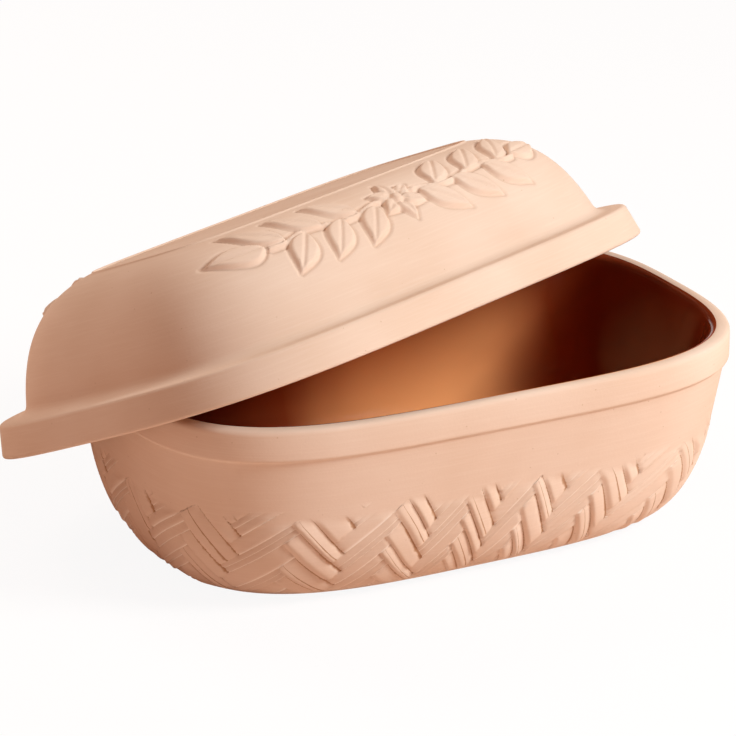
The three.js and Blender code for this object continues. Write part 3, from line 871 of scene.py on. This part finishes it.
def brown_glaze():
    """Glossy brown glaze, painted amber where the key light falls and painted dark brown where shade falls"""
    material, tree = new_material("brown_glaze")
    place = add(tree, "TexCoord").outputs["Object"]
    clouds = add(tree, "TexNoise", {"Vector": place, "Scale": 1 / (CLOUD_SIZE * MM), "Detail": 2})
    along_pot = add(tree, "SeparateXYZ", {0: place}).outputs["X"]
    out = add(tree, "Math", {0: along_pot, 1: LIT_MIDDLE * MM}, operation="SUBTRACT")
    out = add(tree, "Math", {0: out}, operation="ABSOLUTE")
    out = add(tree, "Math", {0: clouds, 1: SHADE_EDGE_NOISE * MM, 2: out}, operation="MULTIPLY_ADD")
    thin, shade_start = [(distance + SHADE_EDGE_NOISE / 2) * MM for distance in (LIT_UNTIL, SHADE_FROM)]
    # This share is painted shade along the pot, though named thickness: 0 in the lit band, 1 towards the ends
    thickness = add(tree, "MapRange", {"Value": out, "From Min": thin, "From Max": shade_start},
                    interpolation_type="SMOOTHSTEP")
    tone = add(tree, "ValToRGB", {"Fac": thickness},
               stops=((0.0, GLAZE_LIT), (0.5, GLAZE_HALF_SHADE), (1.0, GLAZE_SHADE)))
    ripple = add(tree, "Bump", {"Height": clouds, "Distance": RIPPLE_BUMP * MM, "Strength": 0.15})
    glass = add(tree, "BsdfPrincipled", {"Base Color": tone, "Roughness": 0.12, "IOR": 1.5, "Normal": ripple})
    add(tree, "OutputMaterial", {"Surface": glass})
    print("brown_glaze has", len(tree.nodes), "nodes")
    return material


glaze_coat.data.materials.append(brown_glaze())

# %% [markdown]
# Floor and light
#
# The pot stands on a white sweep of paper, which is matt and hands warm light back to the clay.
# More light could burn the paper white, but that would bleach the clay too. So the camera sees the floor as
# white through Light Path, while the floor still catches a soft shadow.

# %% White floor
FLOOR_SIZE = 8.0
PAPER = "#F2DACB"
SHADOW_SHARE, WHITE_LEVEL = 0.1, 1.02


def seen_directly(tree):
    """1 where the camera, a reflection or a refraction looks, and 0 for scattered light"""
    path = add(tree, "LightPath").outputs
    seen = add(tree, "Math", {0: path["Is Camera Ray"], 1: path["Is Glossy Ray"]}, operation="MAXIMUM")
    return add(tree, "Math", {0: seen, 1: path["Is Transmission Ray"]}, operation="MAXIMUM")


floor_bm = bmesh.new()
bmesh.ops.create_grid(floor_bm, x_segments=1, y_segments=1, size=FLOOR_SIZE / 2)
floor_mesh = bpy.data.meshes.new("floor")
floor_bm.to_mesh(floor_mesh)
floor_bm.free()
floor = bpy.data.objects.new("floor", floor_mesh)
bpy.context.scene.collection.objects.link(floor)

# White paper is matt and even, so the eye sees only the shadow that lies on it
paper, tree = new_material("white_paper")
matt = add(tree, "BsdfDiffuse", {"Color": linear(PAPER)})
white = add(tree, "Emission", {"Color": (1, 1, 1, 1), "Strength": WHITE_LEVEL})
shaded = add(tree, "MixShader", {0: SHADOW_SHARE, 1: white, 2: matt})
both = add(tree, "MixShader", {0: seen_directly(tree), 1: matt, 2: shaded})
add(tree, "OutputMaterial", {"Surface": both})
floor_mesh.materials.append(paper)
print(f"floor {FLOOR_SIZE} m wide")

# %% [markdown]
# World
#
# A warm world fills the shade, as light that bounces between clay and paper does. It is brighter near the
# horizon than overhead. The camera sees plain white there, and the glaze mirrors white only near the floor.

# %% Warm world
HORIZON_TINT, ZENITH_TINT = (0.5, 0.25, 0.18), (0.2, 0.17, 0.16)
SWEEP_END, SWEEP_FADE = 0.2, 0.05

world = bpy.data.worlds.new("studio")
bpy.context.scene.world = world
world.use_nodes = True
tree = world.node_tree
tree.nodes.clear()
way = add(tree, "SeparateXYZ", {0: add(tree, "TexCoord").outputs["Generated"]}).outputs["Z"]
light = add(tree, "MixRGB", {"Fac": way, "Color1": (*HORIZON_TINT, 1), "Color2": (*ZENITH_TINT, 1)})
sweep_end = add(tree, "MapRange", {"Value": way, "From Min": SWEEP_FADE, "From Max": SWEEP_END,
                                   "To Min": 1, "To Max": 0}, interpolation_type="SMOOTHSTEP")
camera_ray = add(tree, "LightPath").outputs["Is Camera Ray"]
white = add(tree, "Math", {0: camera_ray, 1: sweep_end}, operation="MAXIMUM")
colour = add(tree, "MixRGB", {"Fac": seen_directly(tree), "Color1": light, "Color2": white})
sky = add(tree, "Background", {"Color": colour, "Strength": 1})
add(tree, "OutputWorld", {"Surface": sky})
print("world has", len(tree.nodes), "nodes")

# %% [markdown]
# Lamps
#
# Two soft boxes light the pot, as in a studio. A key light from the right models the form, and a weaker light
# from behind draws the edges. A sun lamp would be simpler, but its shadows would be too hard.

# %% Lamps
LAMP_DISTANCE, LAMP_TARGET = 1.8, Vector((0, 0, 0.09))
KEY_FROM, BACK_FROM = Vector((0.545, -0.595, 0.59)), Vector((-0.3, 0.66, 0.69))
KEY_SIZE, BACK_SIZE = 0.55, 0.9
KEY_POWER, BACK_POWER = 35.5, 14
KEY_TINT, BACK_TINT = (0.855, 1.02, 1.14), (1, 1, 0.98)


def soft_box(name, way, size, power, tint):
    """Square lamp that points at the middle of the pot, and doesn't show in the glaze"""
    lamp = bpy.data.lights.new(name, "AREA")
    lamp.size, lamp.energy, lamp.color = size, power, tint
    box = bpy.data.objects.new(name, lamp)
    box.location = LAMP_TARGET + way.normalized() * LAMP_DISTANCE
    box.rotation_euler = way.to_track_quat("Z", "Y").to_euler()
    box.visible_glossy = False
    bpy.context.scene.collection.objects.link(box)
    print(f"{name} lamp: {power} W, {size} m wide")


soft_box("key", KEY_FROM, KEY_SIZE, KEY_POWER, KEY_TINT)
soft_box("back", BACK_FROM, BACK_SIZE, BACK_POWER, BACK_TINT)

# %% [markdown]
# Camera
#
# The camera stands well back with a long lens, a little above the pot and to its left, so that the lines stay
# calm and the open end and the inside show.

# %% Camera
IMAGE_SIDE = 736
FOCAL_PIXELS = 4000
SENSOR_WIDTH = 36
CAMERA_AZIMUTH, CAMERA_ELEVATION = math.radians(-27.56), math.radians(20.654)
CAMERA_TARGET, CAMERA_DISTANCE = Vector((-20.793, 0, 88.017)) * MM, 2104.7 * MM

camera = bpy.data.cameras.new("camera")
camera.sensor_width = SENSOR_WIDTH
camera.lens = SENSOR_WIDTH * FOCAL_PIXELS / IMAGE_SIDE
viewer = bpy.data.objects.new("camera", camera)
back = Vector((math.sin(CAMERA_AZIMUTH) * math.cos(CAMERA_ELEVATION),
               -math.cos(CAMERA_AZIMUTH) * math.cos(CAMERA_ELEVATION), math.sin(CAMERA_ELEVATION)))
viewer.location = CAMERA_TARGET + back * CAMERA_DISTANCE
viewer.rotation_euler = (-back).to_track_quat("-Z", "Y").to_euler()
bpy.context.scene.collection.objects.link(viewer)
bpy.context.scene.camera = viewer
bpy.context.scene.view_settings.view_transform = "Standard"
print(f"lens {camera.lens:.1f} mm, {CAMERA_DISTANCE:.2f} m away")
